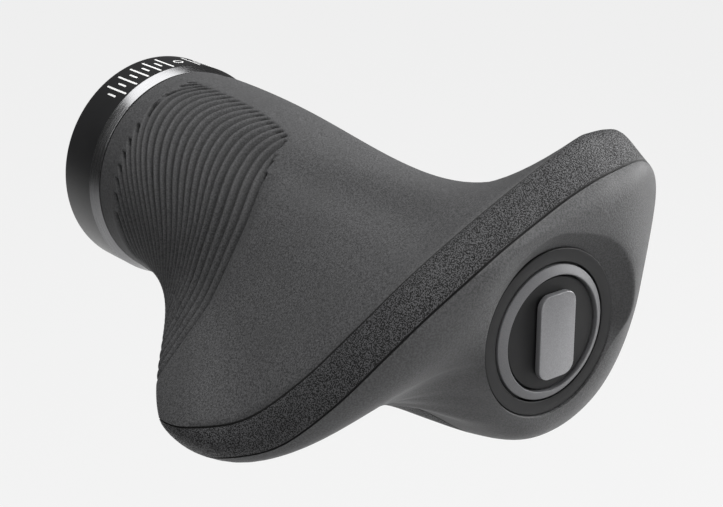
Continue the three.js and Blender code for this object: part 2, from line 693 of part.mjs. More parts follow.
const grip = new THREE.Group();
grip.add(meshOf("clamp_ring", makeClampRing(), 0x1b1b1c, 0.35, 0.8));
grip.add(meshOf("clamp_screw", makeClampScrew(), 0x2a2a2c, 0.4, 0.9));
grip.add(meshOf("core_sleeve", makeCoreSleeve(), 0x1d1d1f, 0.6, 0));
grip.add(meshOf("grip_rubber", makeGripRubber(), 0x4a4a4b, 0.85, 0));
grip.add(meshOf("end_plug", makeEndPlug(), 0x2a2a2b, 0.35, 0));
grip.add(meshOf("trim_ring", makeTrimRing(), 0x8a8a8c, 0.4, 0.6));
grip.add(meshOf("badge_disc", makeBadgeDisc(), 0x333335, 0.5, 0));
grip.add(meshOf("badge_plate", makeBadgePlate(), 0x8e8e90, 0.4, 0.6));

export default grip;
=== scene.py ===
"""A lock-on handlebar grip for the right hand, built over its CAD model and set in a small studio.

The pieces are the clamp ring with its printed scale, the clamp screw, the hard sleeve, the moulded
rubber body with its palm wing, and the closed outboard end. Sizes are in millimetres here and in
metres in Blender. X runs along the bar towards its end, Y forward and Z up. An angle about X is
measured from the top towards the rear.
"""

import math

import bpy
import numpy as np
from mathutils import Matrix, Vector


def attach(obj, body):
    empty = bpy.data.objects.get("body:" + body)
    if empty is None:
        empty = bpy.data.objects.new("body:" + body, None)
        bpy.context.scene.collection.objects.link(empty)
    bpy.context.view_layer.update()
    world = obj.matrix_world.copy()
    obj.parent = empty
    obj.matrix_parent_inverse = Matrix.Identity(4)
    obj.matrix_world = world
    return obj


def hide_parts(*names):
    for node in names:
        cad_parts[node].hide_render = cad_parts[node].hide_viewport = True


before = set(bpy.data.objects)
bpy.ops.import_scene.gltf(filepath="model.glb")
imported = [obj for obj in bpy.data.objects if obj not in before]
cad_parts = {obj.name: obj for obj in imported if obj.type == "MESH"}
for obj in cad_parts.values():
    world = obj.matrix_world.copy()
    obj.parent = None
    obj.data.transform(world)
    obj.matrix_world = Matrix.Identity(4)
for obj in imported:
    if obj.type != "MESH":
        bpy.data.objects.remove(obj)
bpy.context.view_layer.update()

bl_info = {
    "name": "Lock-on handlebar grip",
    "version": (1, 0, 0),
    "blender": (4, 5, 0),
    "location": "3D View > Sidebar > Grip",
    "description": "Builds a lock-on handlebar grip over its CAD model, and a studio round it",
    "category": "Add Mesh",
}

MM = 0.001

# Sizes that the pieces share with the CAD model.
BORE_RADIUS = 11.2
CLAMP_LENGTH = 9.1
CLAMP_RADIUS = 17
CLAMP_FACE_RADIUS = 16.2
CLAMP_CHAMFER_LENGTH = 1.6
TOOTH_SEAT_RADIUS = 13.4
TOOTH_SEAT_DEPTH = 2.5
SLIT_ANGLE = -110
SLIT_WIDTH = 1.6
SCREW_AXIS_X = 3.5
SCREW_AXIS_RADIUS = 14.1
SCREW_RADIUS = 1.5
SCREW_LENGTH = 10
SCREW_HEAD_RADIUS = 2.3
SCREW_HEAD_LENGTH = 3
SCREW_PLAY = 0.2
HEX_ACROSS_FLATS = 2.5
HEX_DEPTH = 1.6
SEAT_GAP = 0.3
SLEEVE_START = CLAMP_LENGTH + SEAT_GAP
SLEEVE_RADIUS = 12.3
SLEEVE_END = 86.2
COLLAR_RADIUS = 14.2
COLLAR_LENGTH = 1.2
TOOTH_COUNT = 4
TOOTH_WIDTH = 7
RUBBER_RADIUS = 16.3
RUBBER_EDGE_ROUND = 0.5
SKIN_START = 13.1
SKIN_RADIUS = 16.5
LIP_X = 90.9
LIP_BACK = 86.5
DISH_X = 91.4
DISH_RADIUS = 12.6
PLUG_FACE_X = 90.75
PLUG_RADIUS = 11.1
PLUG_WALL = 1.2
PLUG_SKIRT_LENGTH = 3
PLUG_THICKNESS = 3.4
TRIM_OUTER_RADIUS = 8.96
TRIM_INNER_RADIUS = 7.76
TRIM_TOP_X = PLUG_FACE_X + 0.65
TRIM_SEAT_X = PLUG_FACE_X - 1.2
DISC_X = PLUG_FACE_X + 0.2
DISC_THICKNESS = 1.1
PLATE_TOP_X = DISC_X + 1.2

# Sizes that follow the photo closer than the CAD model does. There the rubber keeps SEAT_GAP from the
# clamp ring and the plug, and the plate is shorter and a little wider.
RUBBER_JOINT = 0.04
RUBBER_START = CLAMP_LENGTH + RUBBER_JOINT
LIP_RADIUS = PLUG_RADIUS + RUBBER_JOINT
PLATE_HEIGHT = 11.4
PLATE_WIDTH = 6
PLATE_CORNER = 1.7

# The printed scale: where its strokes start and end along the bar, and their angles. The front half
# mirrors the rear half, which starts at the top, and the circle stands between them.
MARKS_PER_HALF = 5
MARK_STEP = 7.9
MARK_KINDS = (("long", 1.9, (1.65, 7.05)), ("short", 5.8, (3.3, 5.45)))
FRONT_HALF_ANGLE = -13
CIRCLE_X = 4.7
CIRCLE_ANGLE = -6.2
CIRCLE_RADIUS = 0.7
CIRCLE_LINE_WIDTH = 0.26

# Stations round the rubber, from the top over the rear, the bottom and the front: the angle where each
# leaves the clamp and where it meets the rim of the plug's hole, how far it keeps straight on, how far
# along and out from the dished rim it comes in and how wide the hollow round the plug is, the depth of
# the band's edge lines, then the band's inner edge and the direction in which the skin reaches it, and
# the band's outer edge and the direction in which the end face leaves it. Both edges count x from the
# lip round the plug.
STATIONS = (
    (0, 0, 41, (0.3, 2.5, 2.1), 1,
     (-4.4, 0.2, 20.1), (15.5, 2, 9.5), (-0.5, -2, 15.5), (1.3, 0.3, -1)),
    (22, 25, 39, (0.5, 2.3, 1.5), 1,
     (-4.5, -6, 17.4), (15.5, -1.5, 4), (0, -8.5, 13.3), (1, 0.5, -1)),
    (42, 45, 38, (1, 2.5, 0.7), 1,
     (-5.5, -12.5, 13.6), (14, -6, 2), (-0.2, -13.2, 10.9), (1.3, 1, -0.8)),
    (58, 65, 36, (0.4, 2.8, 0.3), 1,
     (-7, -18.5, 9.2), (13, -8, -2), (-1.8, -19.3, 6.4), (2, 2, -1)),
    (72, 82, 34, (-1.5, 2.8, 0.2), 1,
     (-9.8, -23.6, 3.5), (12, -8, -5), (-4, -23.5, 1.9), (3, 3, -1.5)),
    (86, 93, 30, (-5, 2.6, 0.2), 1,
     (-14.8, -28.6, -4), (12.5, -7.5, -7), (-8.6, -28.3, -5.3), (4, 4, -1)),
    (100, 99, 26, (-9, 2, 0.2), 1,
     (-21.5, -32.5, -10.4), (11.5, -6.5, -8.3), (-15.4, -31.8, -12.1), (5.5, 3.5, -1)),
    (114, 105, 21, (-11, 1, 0.2), 1,
     (-30, -36, -13.6), (9.5, -6.5, -7.5), (-23.7, -34.4, -16), (7.5, 4, -2.5)),
    (128, 114, 17, (-11, 0.5, 0.2), 0.7,
     (-37.1, -35, -15.3), (11.5, -5, -3.5), (-31, -32.8, -18.5), (10, 5, 0.5)),
    (140, 124, 16, (-10, 1, 0.2), 0,
     (-36.4, -30, -18), (14, -6.5, -2.5), (-30.2, -27.3, -17.8), (9, 5, 5)),
    (151, 134, 17.5, (-6.5, 2.3, 0.2), 0,
     (-31, -20.8, -16.6), (16, -4.5, 0.5), (-24.2, -20, -15), (6, 6, 5)),
    (162, 148, 22.5, (-3, 3, 0.2), 1,
     (-22.5, -11.6, -14.4), (16, -2, 1.2), (-15.4, -11.3, -12.4), (5, 1.5, 1)),
    (174, 168, 25, (-0.3, 2.8, 0.2), 1,
     (-15.3, -5.6, -16.2), (17, 0, 1.5), (-8.3, -5, -15.8), (3.7, 0.3, 0.6)),
    (195, 195, 24, (-0.6, 2.7, 0.2), 1,
     (-12.6, 3.6, -18), (17, 0, 0.5), (-6.7, 5, -17.6), (2.5, -0.7, 0.4)),
    (222, 222, 23.5, (-0.4, 2.8, 0.2), 1,
     (-11.5, 12.3, -14.3), (13.5, 1.3, -1), (-6.6, 15.3, -15.3), (1.3, -1.8, 0.3)),
    (248, 248, 25, (-0.4, 3.5, 0.7), 1,
     (-11, 17.5, -7), (13, 4, -1), (-6.7, 21.2, -7.9), (1.2, -2.2, -0.2)),
    (272, 272, 28.5, (-0.9, 4.6, 2.6), 1,
     (-10.8, 20.2, 1.4), (12.5, 7, 2), (-7.4, 24.6, 1.5), (1.3, -2, -0.1)),
    (296, 296, 32, (0.1, 5.3, 3.3), 1,
     (-10.2, 22, 11.6), (13.7, 11.5, 8), (-7, 25.8, 11.8), (2, -1.5, -0.4)),
    (318, 318, 37, (0.35, 4.7, 2.9), 1,
     (-7.5, 18.3, 20.6), (16, 15.5, 16), (-3.4, 19.2, 17.9), (2.6, -0.8, -1)),
    (334, 334, 44.5, (0.3, 3.5, 2.2), 1,
     (-6.3, 11, 22.4), (17.3, 13, 17.5), (-1.6, 11, 18.5), (2.3, -0.1, -1.6)),
    (348, 348, 46, (0.3, 2.9, 2), 1,
     (-4.9, 5.4, 21.7), (16.5, 7, 14), (-0.9, 4.2, 17.4), (1.7, 0.2, -1.2)),
)

# Places across one groove, as shares of the way from one rib's crest to the next, and the share of its
# depth there.
GROOVE_SECTION = ((0.08, 0), (0.22, 0.55), (0.38, 1), (0.62, 1), (0.78, 0.55), (0.92, 0))

# The fan of grooves, numbered from the clamp. At their waist near the top they lie square to the bar, a
# pitch apart. Further down they sweep outboard, and above the waist they hook back. The reach of the
# sweep, the angles where it starts and ends and the bend of the hook change with each millimetre that
# the waist lies past FULL_FAN_X, and the hook's angle past HOOK_GROWTH_X. Round the front, where there
# are no grooves, the angle folds back, so that the rubber's other rows run on smoothly.
FIRST_GROOVE = -4
LAST_GROOVE = 19
WAIST_GROOVE = 4
WAIST_X = 15.5
GROOVE_PITCH = 1.95
EARLY_PITCH = 1.4
FAN_START_X = 14.1
FULL_FAN_X = 15
FAN_REACH = 10.6
FAN_REACH_PER_MM = -0.38
FAN_LEAST_REACH = 2.4
FAN_TOP_ANGLE = 25
MM_PER_FAN_TOP_DEGREE = 3
FAN_FOOT_ANGLE = 110
FAN_FOOT_ANGLE_PER_MM = -1.2
FAN_FOOT_LEAST_ANGLE = 74
HOOK_ANGLE = 28
HOOK_ANGLE_PER_MM = 0.55
HOOK_GROWTH_X = 20
HOOK_MOST_ANGLE = 42
HOOK_BEND = 0.0078
HOOK_BEND_PER_MM = -0.00018
FOLD_ANGLE = 150
FOLD_PACE = 1.3
LEAST_ANGLE = 5

# Where the grooves start, counted from the top: on a line that drops slowly along the bar, and faster
# at the fan's outer corner. Then how far round the bar they run out at their start and at their foot,
# and how far past their start they are cut deeper.
TOP_ANGLE = 6
TOP_DROP_ANGLE = 12.5
TOP_DROP_LENGTH = 28
CORNER_X = 42.9
CORNER_LENGTH = 1.6
CORNER_DROP_ANGLE = 12
FOOT_ANGLE = 126
TOP_RUN_OUT_ANGLE = 1.1
FOOT_RUN_OUT_ANGLE = 5
DEEP_END_ANGLE = 4.5

# How finely the rubber is cut, round the bar and along its skin.
RUBBER_COLUMNS = 336
SKIN_SAMPLES = 601
PLAIN_SKIN_STEPS = 20
BAND_STEPS = 8
END_STEPS = 24
BOWL_STEPS = 8

# The camera, found from the circles in the photo.
CAMERA_PLACE = (238.94, -149.85, 90.71)
CAMERA_AHEAD = (-0.7273, 0.5860, -0.3572)
CAMERA_LENS = 90.35

# Each softbox: its place, its width in metres and its share of the lamp power. All aim at one point.
SOFTBOX_AIM = (50, -5, 0)
SOFTBOXES = (
    ("softbox_top", (10, 20, 400), 0.36, 0.76),
    ("softbox_front", (190, 405, 130), 0.3, 1.0),
    ("softbox_end", (560, -60, 10), 0.3, 0.32),
    ("softbox_rear", (230, -300, 320), 0.3, 0.25),
)


def linear(code):
    """The linear RGBA of an sRGB colour written like #5a5a5c."""
    channels = [int(code[i : i + 2], 16) / 255 for i in (1, 3, 5)]
    return (*[c / 12.92 if c <= 0.04045 else ((c + 0.055) / 1.055) ** 2.4 for c in channels], 1)


def colour_property(name, description, code):
    return bpy.props.FloatVectorProperty(
        name=name, description=description, size=4, min=0, max=1, subtype="COLOR", default=linear(code)
    )


def length_property(name, description, millimetres):
    return bpy.props.FloatProperty(
        name=name, description=description, min=0, unit="LENGTH", precision=5, default=millimetres * MM
    )


class GripRubberSettings(bpy.types.PropertyGroup):
    """What a user would change on the rubber body."""

    groove_depth: length_property("Groove depth", "How deep the grooves between the ribs are", 0.45)
    line_width: length_property("Edge line width", "Width of the lines beside the textured band", 0.36)
    line_depth: length_property("Edge line depth", "Depth of the lines beside the textured band", 0.22)
    skin_colour: colour_property("Skin", "Colour of the ribbed and plain skin", "#3c3c3d")
    band_colour: colour_property("Band", "Colour of the textured band round the rim", "#2c2c2d")
    end_colour: colour_property("End face", "Colour of the dished end face", "#3e3e3f")
    line_colour: colour_property("Edge lines", "Colour of the lines beside the band", "#060606")


class GripHardwareSettings(bpy.types.PropertyGroup):
    """What a user would change on the clamp ring, the sleeve and the closed end."""

    mark_width: length_property("Scale mark width", "Width of the printed scale marks", 0.32)
    mark_colour: colour_property("Scale marks", "Ink of the printed scale", "#e9e9e8")
    ring_colour: colour_property("Clamp ring", "Colour of the anodised clamp ring", "#1a1a1b")
    chamfer_colour: colour_property("Ring chamfer", "Colour of the ring's machined chamfer", "#747475")
    screw_colour: colour_property("Clamp screw", "Colour of the clamp screw", "#2b2b2d")
    sleeve_colour: colour_property("Sleeve", "Colour of the hard sleeve", "#1d1d1f")
    plug_colour: colour_property("Plug", "Colour of the end plug", "#121213")
    trim_colour: colour_property("Trim ring", "Colour of the trim ring", "#606062")
    disc_colour: colour_property("Disc", "Colour of the disc inside the trim ring", "#101011")
    plate_colour: colour_property("Plate", "Colour of the raised plate", "#78787a")


class GripStageSettings(bpy.types.PropertyGroup):
    """What a user would change on the studio."""

    floor_drop: length_property("Floor drop", "How far the floor is below the bar's axis", 140)
    floor_colour: colour_property("Floor", "Colour of the paper floor", "#f2f2f2")
    background: colour_property("Background", "Colour behind the grip, as the camera sees it", "#f2f2f2")
    lamp_power: bpy.props.FloatProperty(
        name="Lamp power", description="Power of the main softbox", min=0, unit="POWER", default=3
    )


def new_object(name):
    """The object that the last primitive made, under its own name."""
    made = bpy.context.active_object
    made.name = name
    made.data.name = name
    return made


def nothing_selected():
    if bpy.context.mode != "OBJECT":
        bpy.ops.object.mode_set(mode="OBJECT")
    bpy.ops.object.select_all(action="DESELECT")


def only(piece):
    """Selects this piece alone and makes it active."""
    nothing_selected()
    piece.select_set(True)
    bpy.context.view_layer.objects.active = piece


def rounded(corners, steps=5):
    """A closed profile of (x, radius) points from corners (x, radius, fillet), with fillets as arcs."""
    points = []
    for i, (x, radius, fillet) in enumerate(corners):
        here = np.array((x, radius), float)
        if not fillet:
            points.append(here)
            continue
        back = np.array(corners[i - 1][:2], float) - here
        ahead = np.array(corners[(i + 1) % len(corners)][:2], float) - here
        back /= np.linalg.norm(back)
        ahead /= np.linalg.norm(ahead)
        half = math.acos(np.clip(back @ ahead, -1, 1)) / 2
        middle = (back + ahead) / np.linalg.norm(back + ahead)
        centre = here + middle * fillet / math.sin(half)
        start = here + back * fillet / math.tan(half) - centre
        end = here + ahead * fillet / math.tan(half) - centre
        turn = math.pi - 2 * half
        for k in range(steps + 1):
            a = turn * k / steps
            points.append(centre + (start * math.sin(turn - a) + end * math.sin(a)) / math.sin(turn))
    return points


def turned(name, profile, steps=192):
    """A body turned about the bar's axis from a closed profile of (x, radius) points in millimetres."""
    nothing_selected()
    bpy.ops.mesh.primitive_circle_add(vertices=len(profile), radius=MM, fill_type="NOTHING")
    piece = new_object(name)
    for vertex, (x, radius) in zip(piece.data.vertices, profile):
        vertex.co = (x * MM, 0, radius * MM)
    bpy.ops.object.mode_set(mode="EDIT")
    bpy.ops.mesh.select_all(action="SELECT")
    bpy.ops.mesh.spin(steps=steps, angle=2 * math.pi, center=(0, 0, 0), axis=(1, 0, 0))
    bpy.ops.mesh.select_all(action="SELECT")
    bpy.ops.mesh.remove_doubles(threshold=0.001 * MM)
    bpy.ops.mesh.delete_loose()
    bpy.ops.mesh.select_all(action="SELECT")
    bpy.ops.mesh.normals_make_consistent(inside=False)
    bpy.ops.object.mode_set(mode="OBJECT")
    return piece


def round_bar(name, radius, length, place, sides=48):
    """A cylinder along Y with its middle at a place, all in millimetres."""
    nothing_selected()
    bpy.ops.mesh.primitive_cylinder_add(
        vertices=sides, radius=radius * MM, depth=length * MM,
        location=Vector(place) * MM, rotation=(math.pi / 2, 0, 0),
    )
    return settle(new_object(name))


def block(name, size, place):
    """A box with its middle at a place, all in millimetres."""
    nothing_selected()
    bpy.ops.mesh.primitive_cube_add(size=1, location=Vector(place) * MM, scale=Vector(size) * MM)
    return settle(new_object(name))


def settle(piece):
    """Puts the object itself at the origin, unturned and unscaled, with its shape where it was."""
    only(piece)
    bpy.ops.object.transform_apply(location=True, rotation=True, scale=True)
    return piece


def turn_about_bar(piece, degrees):
    """Turns a piece's shape about the bar's axis, in the sense that moves the top towards the front."""
    piece.data.transform(Matrix.Rotation(math.radians(degrees), 4, "X"))
    return piece


def combine(piece, tool, operation):
    """Cuts the tool out of the piece, or joins it on, and removes the tool."""
    only(piece)
    modifier = piece.modifiers.new(operation.title(), "BOOLEAN")
    modifier.operation = operation
    modifier.solver = "EXACT"
    modifier.object = tool
    bpy.ops.object.modifier_apply(modifier=modifier.name)
    bpy.data.objects.remove(tool)
    return piece


def soften(piece, width, segments=3, limit=40):
    """Rounds the edges that are sharper than a limit, and applies the modifier."""
    only(piece)
    modifier = piece.modifiers.new("Bevel", "BEVEL")
    modifier.width = width * MM
    modifier.segments = segments
    modifier.limit_method = "ANGLE"
    modifier.angle_limit = math.radians(limit)
    modifier.use_clamp_overlap = True
    bpy.ops.object.modifier_apply(modifier=modifier.name)
    return piece


def finish_piece(piece, material, slot, *nodes, smooth=35):
    """Gives a piece its material and shading, lets it ride with the grip, and hides its CAD nodes."""
    only(piece)
    bpy.ops.object.shade_smooth_by_angle(angle=math.radians(smooth))
    if material:
        piece.data.materials.clear()
        piece.data.materials.append(material)
    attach(piece, "root")
    if nodes:
        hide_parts(*nodes)
    return piece


# Materials. Every pattern reads Object coordinates, which are in metres.
def feed(tree, node, inputs):
    """Gives a node's sockets their values, or links them to other nodes' outputs."""
    for name, value in inputs.items():
        if isinstance(value, bpy.types.NodeSocket):
            tree.links.new(value, node.inputs[name])
        else:
            node.inputs[name].default_value = value
    return node


def add(tree, kind, inputs=None, **settings):
    """A new node with its settings. inputs names sockets, each with a value or another node's output."""
    node = tree.nodes.new(kind)
    for name, value in settings.items():
        setattr(node, name, value)
    return feed(tree, node, inputs or {})


def shade(colour, factor):
    """The same colour, lighter or darker."""
    return (*[min(1, c * factor) for c in colour[:3]], 1)


def blank_material(name):
    """A material with a principled shader, its node tree, and its object coordinates."""
    material = bpy.data.materials.new(name)
    material.use_nodes = True
    tree = material.node_tree
    shader = tree.nodes["Principled BSDF"]
    return material, tree, shader, add(tree, "ShaderNodeTexCoord").outputs["Object"]


def grain(where, width, detail=2, roughness=0.5):
    """A noise node's inputs, for blobs about this many millimetres wide."""
    return {"Vector": where, "Scale": 1 / (width * MM), "Detail": detail, "Roughness": roughness}


def mottle(tree, height, low, high, first, second, most=1):
    """Blends one colour into another while a pattern goes from low to high. 6 and 7 are colours."""
    limits = {"From Min": low, "From Max": high, "To Min": 0, "To Max": most}
    share = add(tree, "ShaderNodeMapRange", {"Value": height, **limits}).outputs["Result"]
    return add(tree, "ShaderNodeMix", {0: share, 6: first, 7: second}, data_type="RGBA").outputs[2]


def surface(tree, shader, tint, height, smooth, rough, relief=0):
    """Gives a shader its tint, and lets a pattern drive its roughness and its relief in millimetres."""
    limits = {"From Min": 0.3, "From Max": 0.7, "To Min": smooth, "To Max": rough}
    sheen = add(tree, "ShaderNodeMapRange", {"Value": height, **limits}).outputs["Result"]
    feed(tree, shader, {"Base Color": tint, "Roughness": sheen})
    if relief:
        dents = {"Height": height, "Distance": relief * MM, "Strength": 1}
        feed(tree, shader, {"Normal": add(tree, "ShaderNodeBump", dents).outputs["Normal"]})


def rubber_material(name, colour, width, relief, roughness=0.72, painted_valley_shade=0.0):
    """Moulded rubber: matt, with the fine grain of a spark-eroded mould and faint patches.

    The last argument is how much painted shade the grooves and the hollow get, darkening their colour; their
    specular level is lowered there too, which also paints shade.
    """
    material, tree, shader, where = blank_material(name)
    fine = add(tree, "ShaderNodeTexNoise", grain(where, width, 3, 0.65)).outputs["Fac"]
    patches = add(tree, "ShaderNodeTexNoise", grain(where, 9)).outputs["Fac"]
    speckle = mottle(tree, fine, 0.38, 0.62, shade(colour, 0.35), shade(colour, 1.6))
    tint = mottle(tree, patches, 0.35, 0.65, speckle, shade(colour, 0.86), 0.3)
    if painted_valley_shade:
        # Painted shade: the grooves and the hollow are darkened towards near black by the share that the
        # rubber's rows carry.
        sunk_and_painted_shade = add(tree, "ShaderNodeAttribute", attribute_name="sunk_and_painted_shade").outputs["Fac"]
        tint = mottle(tree, sunk_and_painted_shade, 0, 1, tint, shade(colour, 0.06), painted_valley_shade)
        # More painted shade: less specular reflection in the grooves and the hollow.
        limits = {"From Min": 0, "From Max": 1, "To Min": 0.5, "To Max": 0.05}
        shine = add(tree, "ShaderNodeMapRange", {"Value": sunk_and_painted_shade, **limits}).outputs["Result"]
        feed(tree, shader, {"Specular IOR Level": shine})
    surface(tree, shader, tint, fine, roughness - 0.08, roughness + 0.08, relief)
    feed(tree, shader, {"IOR": 1.5})
    return material


def stippled_rubber(name, colour):
    """The band's stipple: small raised grains, with their tops painted light as a highlight and the ground
    between them painted dark as shade.
    """
    material, tree, shader, where = blank_material(name)
    grains = add(tree, "ShaderNodeTexNoise", grain(where, 0.16, 1)).outputs["Fac"]
    # Painted highlight on the raised grains and painted shade between them, following the same noise as the
    # bumps.
    tint = mottle(tree, grains, 0.46, 0.56, shade(colour, 0.04), shade(colour, 2.5))
    surface(tree, shader, tint, grains, 0.8, 0.55, 0.08)
    feed(tree, shader, {"IOR": 1.5, "Specular IOR Level": 0.3})
    return material


def anodised_material(name, colour, roughness):
    """Bead-blasted and black anodised aluminium: an even satin sheen broken by a very fine grain."""
    material, tree, shader, where = blank_material(name)
    fine = add(tree, "ShaderNodeTexNoise", grain(where, 0.12, 3)).outputs["Fac"]
    patches = add(tree, "ShaderNodeTexNoise", grain(where, 6)).outputs["Fac"]
    tint = mottle(tree, patches, 0.35, 0.65, shade(colour, 0.9), shade(colour, 1.12))
    surface(tree, shader, tint, fine, roughness - 0.05, roughness + 0.05, 0.003)
    return material


def machined_material(name, colour):
    """Chamfer turned after anodising: darkened metal that mirrors the lamps in a soft streak."""
    material, tree, shader, where = blank_material(name)
    around = add(tree, "ShaderNodeMapping", {"Vector": where, "Scale": (40, 1, 1)}).outputs["Vector"]
    turning = add(tree, "ShaderNodeTexNoise", grain(around, 4, 3)).outputs["Fac"]
    tint = mottle(tree, turning, 0.3, 0.7, shade(colour, 0.85), shade(colour, 1.1))
    surface(tree, shader, tint, turning, 0.2, 0.3)
    feed(tree, shader, {"Metallic": 1})
    return material


def moulded_plastic(name, colour, roughness, width=0.25, relief=0.004, gloss=0.5):
    """Injection-moulded plastic: a smooth sheen with a trace of mould grain and slow waves from cooling."""
    material, tree, shader, where = blank_material(name)
    fine = add(tree, "ShaderNodeTexNoise", grain(where, width, 3)).outputs["Fac"]
    waves = add(tree, "ShaderNodeTexNoise", grain(where, 4)).outputs["Fac"]
    tint = mottle(tree, waves, 0.35, 0.65, shade(colour, 0.92), shade(colour, 1.1))
    surface(tree, shader, tint, waves, roughness - 0.04, roughness + 0.05)
    slow = add(tree, "ShaderNodeBump", {"Height": waves, "Distance": 0.01 * MM, "Strength": 1})
    dents = {"Height": fine, "Distance": relief * MM, "Strength": 1, "Normal": slow.outputs["Normal"]}
    feed(tree, shader, {"Normal": add(tree, "ShaderNodeBump", dents).outputs["Normal"]})
    feed(tree, shader, {"IOR": 1.49, "Specular IOR Level": gloss})
    return material


def painted_material(name, colour, roughness, metallic=0.35):
    """Satin grey metallic paint: small bright flakes under an even sheen."""
    material, tree, shader, where = blank_material(name)
    flakes = add(tree, "ShaderNodeTexNoise", grain(where, 0.1, 4)).outputs["Fac"]
    tint = mottle(tree, flakes, 0.35, 0.65, shade(colour, 0.85), shade(colour, 1.15))
    surface(tree, shader, tint, flakes, roughness - 0.05, roughness + 0.05, 0.003)
    feed(tree, shader, {"Metallic": metallic})
    return material


def ink_material(name, colour):
    """Pad-printed white ink: flat and slightly uneven."""
    material, tree, shader, where = blank_material(name)
    fine = add(tree, "ShaderNodeTexNoise", grain(where, 0.2)).outputs["Fac"]
    tint = mottle(tree, fine, 0.35, 0.65, shade(colour, 0.9), colour)
    surface(tree, shader, tint, fine, 0.5, 0.65)
    return material


# The rubber body, as a grid whose columns run from the clamp to the plug and whose rows run round the bar.
def loop(values, t):
    """Values round a closed loop of stations, smoothed between them as in the CAD source."""
    points = np.array(values, float)
    u = (t % 1) * len(points)
    i = np.floor(u).astype(int)
    w = (u - i)[:, None]
    before, first, second, after = (points[(i + k) % len(points)] for k in (-1, 0, 1, 2))
    a = (second - before) / 2
    b = (after - first) / 2
    return first + w * (a + w * (3 * (second - first) - 2 * a - b + w * (2 * (first - second) + a + b)))


def bezier(controls, share):
    """Points of cubic curves, given four control arrays and a share along, which may differ per curve."""
    s = np.broadcast_to(np.asarray(share, float), controls[0].shape[:1])[:, None]
    a, b, c, d = controls
    return (1 - s) ** 3 * a + 3 * s * (1 - s) ** 2 * b + 3 * s * s * (1 - s) * c + s**3 * d


def bezier_slope(controls, share):
    s = np.broadcast_to(np.asarray(share, float), controls[0].shape[:1])[:, None]
    a, b, c, d = controls
    return 3 * (1 - s) ** 2 * (b - a) + 6 * s * (1 - s) * (c - b) + 3 * s * s * (d - c)


def unit(vectors):
    return vectors / np.linalg.norm(vectors, axis=-1, keepdims=True)


def angle_from_top(points):
    """Angles from -90 to 270 degrees, growing towards the rear."""
    return (np.degrees(np.arctan2(-points[..., 1], points[..., 2])) + 90) % 360 - 90


def eased(value):
    return 0.5 - 0.5 * np.cos(np.pi * np.clip(value, 0, 1))


def groove_x(number, angle):
    """Where a groove, or a place between two, crosses an angle."""
    pitch = GROOVE_PITCH if number > WAIST_GROOVE else EARLY_PITCH
    waist = WAIST_X + pitch * (number - WAIST_GROOVE)
    beyond = max(0.0, waist - FULL_FAN_X)
    reach = max(FAN_LEAST_REACH, FAN_REACH + FAN_REACH_PER_MM * beyond)
    start = FAN_TOP_ANGLE + beyond / MM_PER_FAN_TOP_DEGREE
    end = max(FAN_FOOT_LEAST_ANGLE, FAN_FOOT_ANGLE + FAN_FOOT_ANGLE_PER_MM * beyond)
    folded = np.where(angle > FOLD_ANGLE, FOLD_ANGLE - (angle - FOLD_ANGLE) * FOLD_PACE, angle)
    bounded = np.maximum(LEAST_ANGLE, folded)
    hook_angle = min(HOOK_MOST_ANGLE, HOOK_ANGLE + HOOK_ANGLE_PER_MM * max(0.0, waist - HOOK_GROWTH_X))
    hook = (HOOK_BEND + HOOK_BEND_PER_MM * beyond) * np.maximum(0, hook_angle - bounded) ** 2
    return waist + reach * eased((bounded - start) / (end - start)) + hook


def groove_top(x):
    """The angle at which the grooves start, which lies further from the top towards the outboard end."""
    drop = TOP_DROP_ANGLE * np.clip((x - FULL_FAN_X) / TOP_DROP_LENGTH, 0, 1.1) ** 3
    corner = CORNER_DROP_ANGLE * np.clip((x - CORNER_X) / CORNER_LENGTH, 0, 1.3) ** 2
    return TOP_ANGLE + drop + corner


def groove_ends(x, angle):
    """How much of its depth a groove has: none above its start or past its foot under the wing."""
    top = np.clip((angle - groove_top(x)) / TOP_RUN_OUT_ANGLE, 0, 1)
    foot = np.clip((FOOT_ANGLE - angle) / FOOT_RUN_OUT_ANGLE, 0, 1)
    return np.minimum(top, foot)


